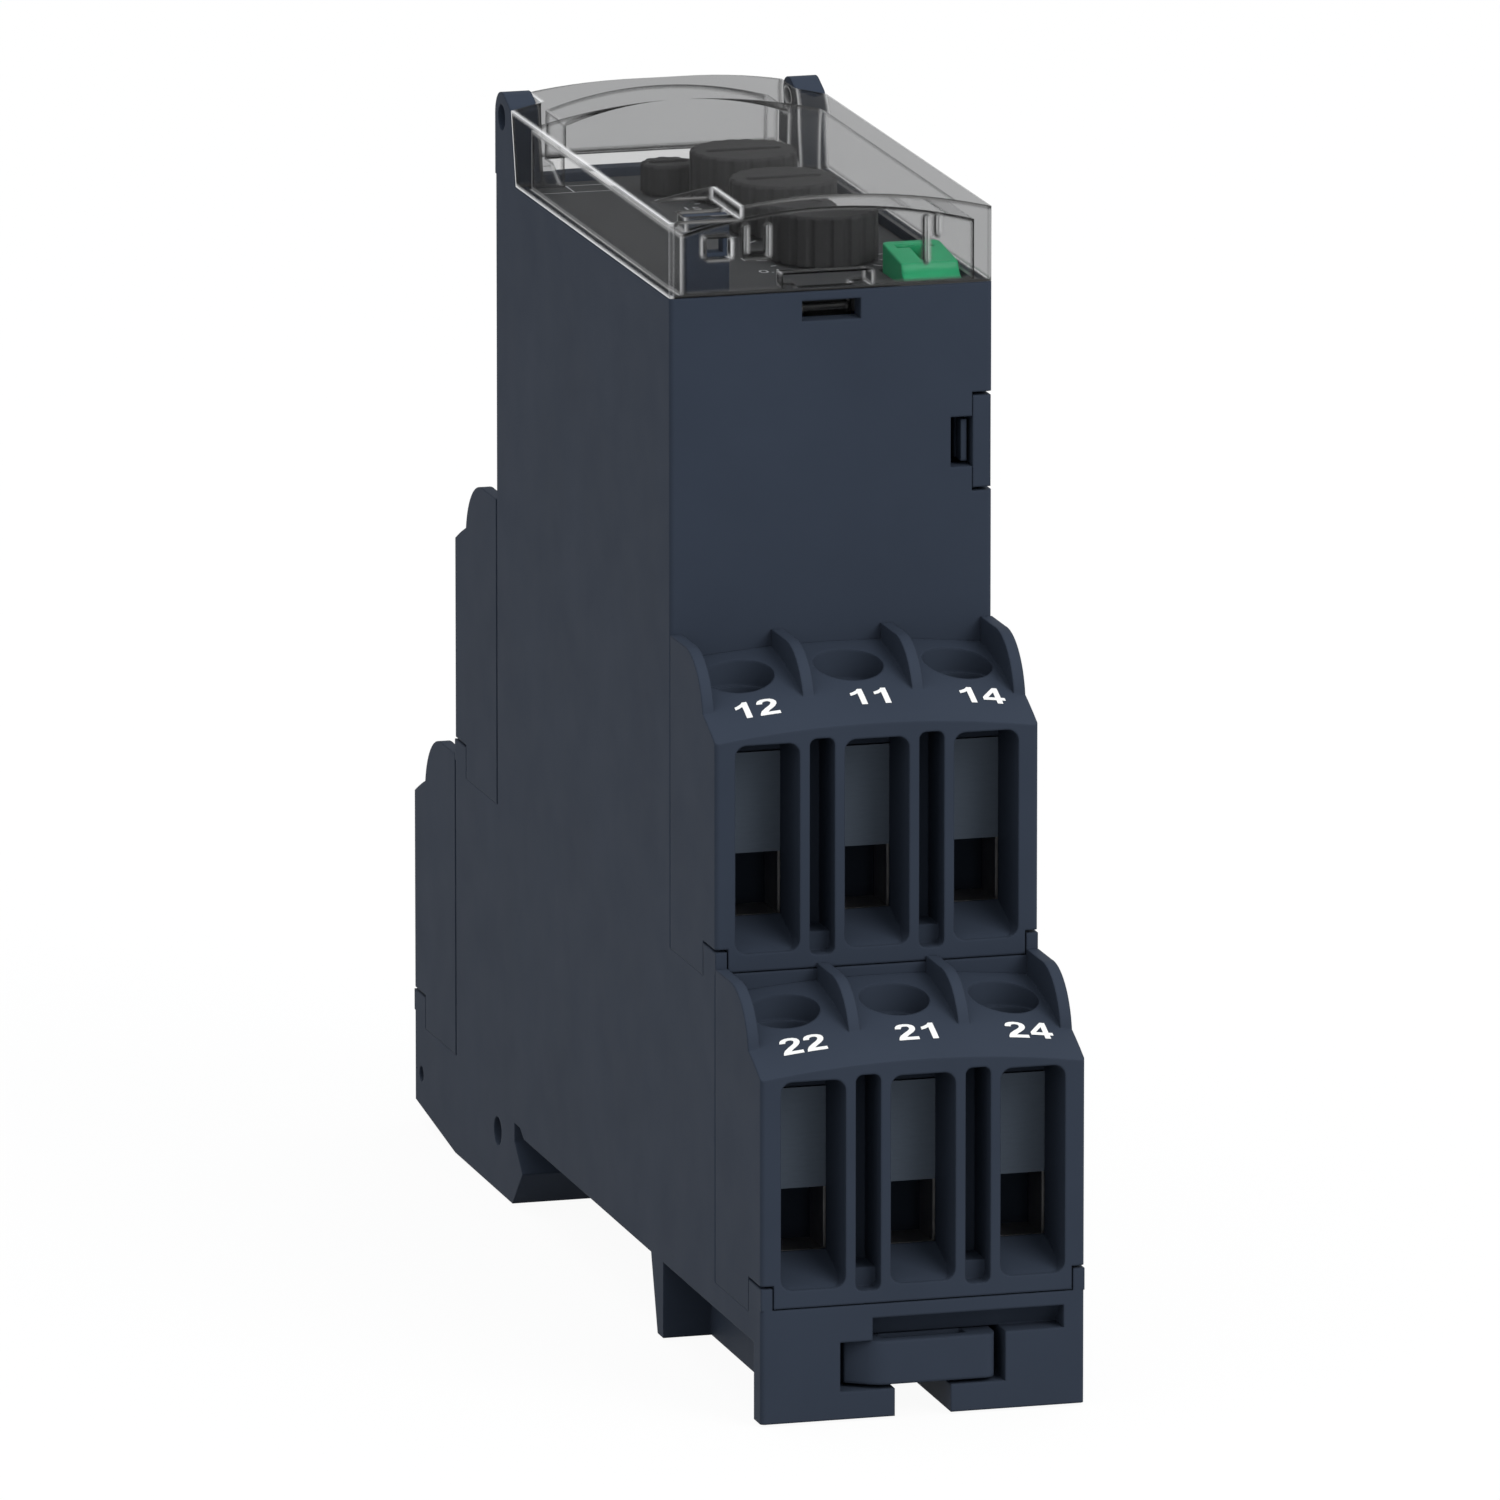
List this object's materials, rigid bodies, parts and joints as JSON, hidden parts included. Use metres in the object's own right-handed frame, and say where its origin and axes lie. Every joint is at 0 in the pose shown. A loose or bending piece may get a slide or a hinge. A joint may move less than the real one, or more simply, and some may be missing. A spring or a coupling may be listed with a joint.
{
  "type": "voltage_monitoring_relay",
  "caption": "Narrow rail-mounted voltage monitoring relay with stepped screw terminals, clear hinged front cover, setting knobs and a green test button.",
  "frame": {"origin": "Centre of the footprint, on the plane the feet rest on (the back of the device, lying down).", "axes": "+X across the narrow width to the side cover, +Y along the terminal rows towards the cover's hinge, +Z out of the back towards the front panel."},
  "size_m": [0.0226, 0.09, 0.0787],
  "materials": {
    "case_plastic": "finely grained dark blue-grey moulding",
    "panel_plastic": "matt dark grey panel with white print",
    "knob_plastic": "satin black",
    "black_plastic": "plain black moulding",
    "green_plastic": "glossy green",
    "clear_plastic": "clear, slightly grey moulding",
    "lamp_plastic": "milky lamp bodies",
    "circuit_board": "green solder resist",
    "relay_plastic": "off-white relay cans",
    "capacitor_sleeve": "dark shrink sleeve",
    "potentiometer_plastic": "blue trimmer bodies",
    "contact_metal": "dull tinned brass",
    "screw_steel": "zinc plated",
    "cage_steel": "zinc plated, duller",
    "spring_steel": "bright wire"
  },
  "bodies": {
    "case": {"housing": "case_plastic", "side_cover": "case_plastic", "faceplate": "panel_plastic", "main_board": "circuit_board", "front_board": "circuit_board", "board_header": "black_plastic", "output_relay_1": "relay_plastic", "output_relay_2": "relay_plastic", "supply_transformer": "black_plastic", "supply_capacitor": "capacitor_sleeve", "controller_chip": "black_plastic", "status_lamps": "lamp_plastic", "light_guide_supply": "clear_plastic", "light_guide_output": "clear_plastic", "button_switch": "black_plastic", "range_switch": "black_plastic", "potentiometer_value": "potentiometer_plastic", "potentiometer_hysteresis": "potentiometer_plastic", "potentiometer_delay": "potentiometer_plastic", "clip_spring": "spring_steel", "terminal_block_near_upper": "case_plastic", "contact_strips_near_upper": "contact_metal", "terminal_block_near_lower": "case_plastic", "contact_strips_near_lower": "contact_metal", "terminal_block_far_upper": "case_plastic", "contact_strips_far_upper": "contact_metal", "terminal_block_far_lower": "case_plastic", "contact_strips_far_lower": "contact_metal"},
    "cover": {"front_cover": "clear_plastic"},
    "clip": {"din_clip": "black_plastic"},
    "button": {"diagnostic_button": "green_plastic"},
    "value_knob": {"knob_value": "knob_plastic"},
    "hysteresis_knob": {"knob_hysteresis": "knob_plastic"},
    "delay_knob": {"knob_delay": "knob_plastic"},
    "selector": {"range_selector": "knob_plastic"},
    "screw_12_body": {"screw_12": "screw_steel"},
    "cage_12_body": {"cage_12": "cage_steel"},
    "screw_11_body": {"screw_11": "screw_steel"},
    "cage_11_body": {"cage_11": "cage_steel"},
    "screw_14_body": {"screw_14": "screw_steel"},
    "cage_14_body": {"cage_14": "cage_steel"},
    "screw_22_body": {"screw_22": "screw_steel"},
    "cage_22_body": {"cage_22": "cage_steel"},
    "screw_21_body": {"screw_21": "screw_steel"},
    "cage_21_body": {"cage_21": "cage_steel"},
    "screw_24_body": {"screw_24": "screw_steel"},
    "cage_24_body": {"cage_24": "cage_steel"},
    "screw_a1_body": {"screw_a1": "screw_steel"},
    "cage_a1_body": {"cage_a1": "cage_steel"},
    "screw_a2_body": {"screw_a2": "screw_steel"},
    "cage_a2_body": {"cage_a2": "cage_steel"},
    "screw_a3_body": {"screw_a3": "screw_steel"},
    "cage_a3_body": {"cage_a3": "cage_steel"},
    "screw_b1_body": {"screw_b1": "screw_steel"},
    "cage_b1_body": {"cage_b1": "cage_steel"},
    "screw_b2_body": {"screw_b2": "screw_steel"},
    "cage_b2_body": {"cage_b2": "cage_steel"},
    "screw_b3_body": {"screw_b3": "screw_steel"},
    "cage_b3_body": {"cage_b3": "cage_steel"}
  },
  "joints": [
    {"name": "cover_hinge", "type": "hinge", "parent": "case", "child": "cover", "pos_m": [0, 0.02075, 0.07643], "axis": [-1, 0, 0], "range_deg": [0, 100]},
    {"name": "clip_slide", "type": "slide", "parent": "case", "child": "clip", "axis": [0, -1, 0], "range_m": [0, 0.003], "stiffness_N_per_m": 900, "springref_m": -0.001, "deforming": ["clip_spring"]},
    {"name": "button_press", "type": "slide", "parent": "case", "child": "button", "axis": [0, 0, -1], "range_m": [0, 0.0005], "stiffness_N_per_m": 600, "springref_m": -0.0005},
    {"name": "delay_turn", "type": "hinge", "parent": "case", "child": "delay_knob", "pos_m": [0.00315, -0.0095, 0.0718], "axis": [0, 0, 1], "range_deg": [-135, 135]},
    {"name": "hysteresis_turn", "type": "hinge", "parent": "case", "child": "hysteresis_knob", "pos_m": [0.00315, 0.0005, 0.0718], "axis": [0, 0, 1], "range_deg": [-135, 135]},
    {"name": "value_turn", "type": "hinge", "parent": "case", "child": "value_knob", "pos_m": [0.00315, 0.0105, 0.0718], "axis": [0, 0, 1], "range_deg": [-135, 135]},
    {"name": "range_turn", "type": "hinge", "parent": "case", "child": "selector", "pos_m": [-0.0011, 0.0145, 0.0718], "axis": [0, 0, 1], "range_deg": [-135, 135]},
    {"name": "screw_12_turn", "type": "hinge", "parent": "case", "child": "screw_12_body", "pos_m": [-0.00762, -0.02665, 0.0424], "axis": [0, 0, -1], "range_deg": [0, 2520]},
    {"name": "cage_12_rise", "type": "slide", "parent": "case", "child": "cage_12_body", "axis": [0, 0, 1], "range_m": [0, 0.0035]},
    {"name": "screw_11_turn", "type": "hinge", "parent": "case", "child": "screw_11_body", "pos_m": [0, -0.02665, 0.0424], "axis": [0, 0, -1], "range_deg": [0, 2520]},
    {"name": "cage_11_rise", "type": "slide", "parent": "case", "child": "cage_11_body", "axis": [0, 0, 1], "range_m": [0, 0.0035]},
    {"name": "screw_14_turn", "type": "hinge", "parent": "case", "child": "screw_14_body", "pos_m": [0.00762, -0.02665, 0.0424], "axis": [0, 0, -1], "range_deg": [0, 2520]},
    {"name": "cage_14_rise", "type": "slide", "parent": "case", "child": "cage_14_body", "axis": [0, 0, 1], "range_m": [0, 0.0035]},
    {"name": "screw_22_turn", "type": "hinge", "parent": "case", "child": "screw_22_body", "pos_m": [-0.00762, -0.0379, 0.0219], "axis": [0, 0, -1], "range_deg": [0, 2520]},
    {"name": "cage_22_rise", "type": "slide", "parent": "case", "child": "cage_22_body", "axis": [0, 0, 1], "range_m": [0, 0.0035]},
    {"name": "screw_21_turn", "type": "hinge", "parent": "case", "child": "screw_21_body", "pos_m": [0, -0.0379, 0.0219], "axis": [0, 0, -1], "range_deg": [0, 2520]},
    {"name": "cage_21_rise", "type": "slide", "parent": "case", "child": "cage_21_body", "axis": [0, 0, 1], "range_m": [0, 0.0035]},
    {"name": "screw_24_turn", "type": "hinge", "parent": "case", "child": "screw_24_body", "pos_m": [0.00762, -0.0379, 0.0219], "axis": [0, 0, -1], "range_deg": [0, 2520]},
    {"name": "cage_24_rise", "type": "slide", "parent": "case", "child": "cage_24_body", "axis": [0, 0, 1], "range_m": [0, 0.0035]},
    {"name": "screw_a1_turn", "type": "hinge", "parent": "case", "child": "screw_a1_body", "pos_m": [0.00762, 0.02665, 0.0424], "axis": [0, 0, -1], "range_deg": [0, 2520]},
    {"name": "cage_a1_rise", "type": "slide", "parent": "case", "child": "cage_a1_body", "axis": [0, 0, 1], "range_m": [0, 0.0035]},
    {"name": "screw_a2_turn", "type": "hinge", "parent": "case", "child": "screw_a2_body", "pos_m": [0, 0.02665, 0.0424], "axis": [0, 0, -1], "range_deg": [0, 2520]},
    {"name": "cage_a2_rise", "type": "slide", "parent": "case", "child": "cage_a2_body", "axis": [0, 0, 1], "range_m": [0, 0.0035]},
    {"name": "screw_a3_turn", "type": "hinge", "parent": "case", "child": "screw_a3_body", "pos_m": [-0.00762, 0.02665, 0.0424], "axis": [0, 0, -1], "range_deg": [0, 2520]},
    {"name": "cage_a3_rise", "type": "slide", "parent": "case", "child": "cage_a3_body", "axis": [0, 0, 1], "range_m": [0, 0.0035]},
    {"name": "screw_b1_turn", "type": "hinge", "parent": "case", "child": "screw_b1_body", "pos_m": [0.00762, 0.0379, 0.0219], "axis": [0, 0, -1], "range_deg": [0, 2520]},
    {"name": "cage_b1_rise", "type": "slide", "parent": "case", "child": "cage_b1_body", "axis": [0, 0, 1], "range_m": [0, 0.0035]},
    {"name": "screw_b2_turn", "type": "hinge", "parent": "case", "child": "screw_b2_body", "pos_m": [0, 0.0379, 0.0219], "axis": [0, 0, -1], "range_deg": [0, 2520]},
    {"name": "cage_b2_rise", "type": "slide", "parent": "case", "child": "cage_b2_body", "axis": [0, 0, 1], "range_m": [0, 0.0035]},
    {"name": "screw_b3_turn", "type": "hinge", "parent": "case", "child": "screw_b3_body", "pos_m": [-0.00762, 0.0379, 0.0219], "axis": [0, 0, -1], "range_deg": [0, 2520]},
    {"name": "cage_b3_rise", "type": "slide", "parent": "case", "child": "cage_b3_body", "axis": [0, 0, 1], "range_m": [0, 0.0035]}
  ],
  "couplings": [
    {"joint": "screw_12_turn", "follows": "cage_12_rise", "rad_per_m": 12566},
    {"joint": "screw_11_turn", "follows": "cage_11_rise", "rad_per_m": 12566},
    {"joint": "screw_14_turn", "follows": "cage_14_rise", "rad_per_m": 12566},
    {"joint": "screw_22_turn", "follows": "cage_22_rise", "rad_per_m": 12566},
    {"joint": "screw_21_turn", "follows": "cage_21_rise", "rad_per_m": 12566},
    {"joint": "screw_24_turn", "follows": "cage_24_rise", "rad_per_m": 12566},
    {"joint": "screw_a1_turn", "follows": "cage_a1_rise", "rad_per_m": 12566},
    {"joint": "screw_a2_turn", "follows": "cage_a2_rise", "rad_per_m": 12566},
    {"joint": "screw_a3_turn", "follows": "cage_a3_rise", "rad_per_m": 12566},
    {"joint": "screw_b1_turn", "follows": "cage_b1_rise", "rad_per_m": 12566},
    {"joint": "screw_b2_turn", "follows": "cage_b2_rise", "rad_per_m": 12566},
    {"joint": "screw_b3_turn", "follows": "cage_b3_rise", "rad_per_m": 12566}
  ]
}
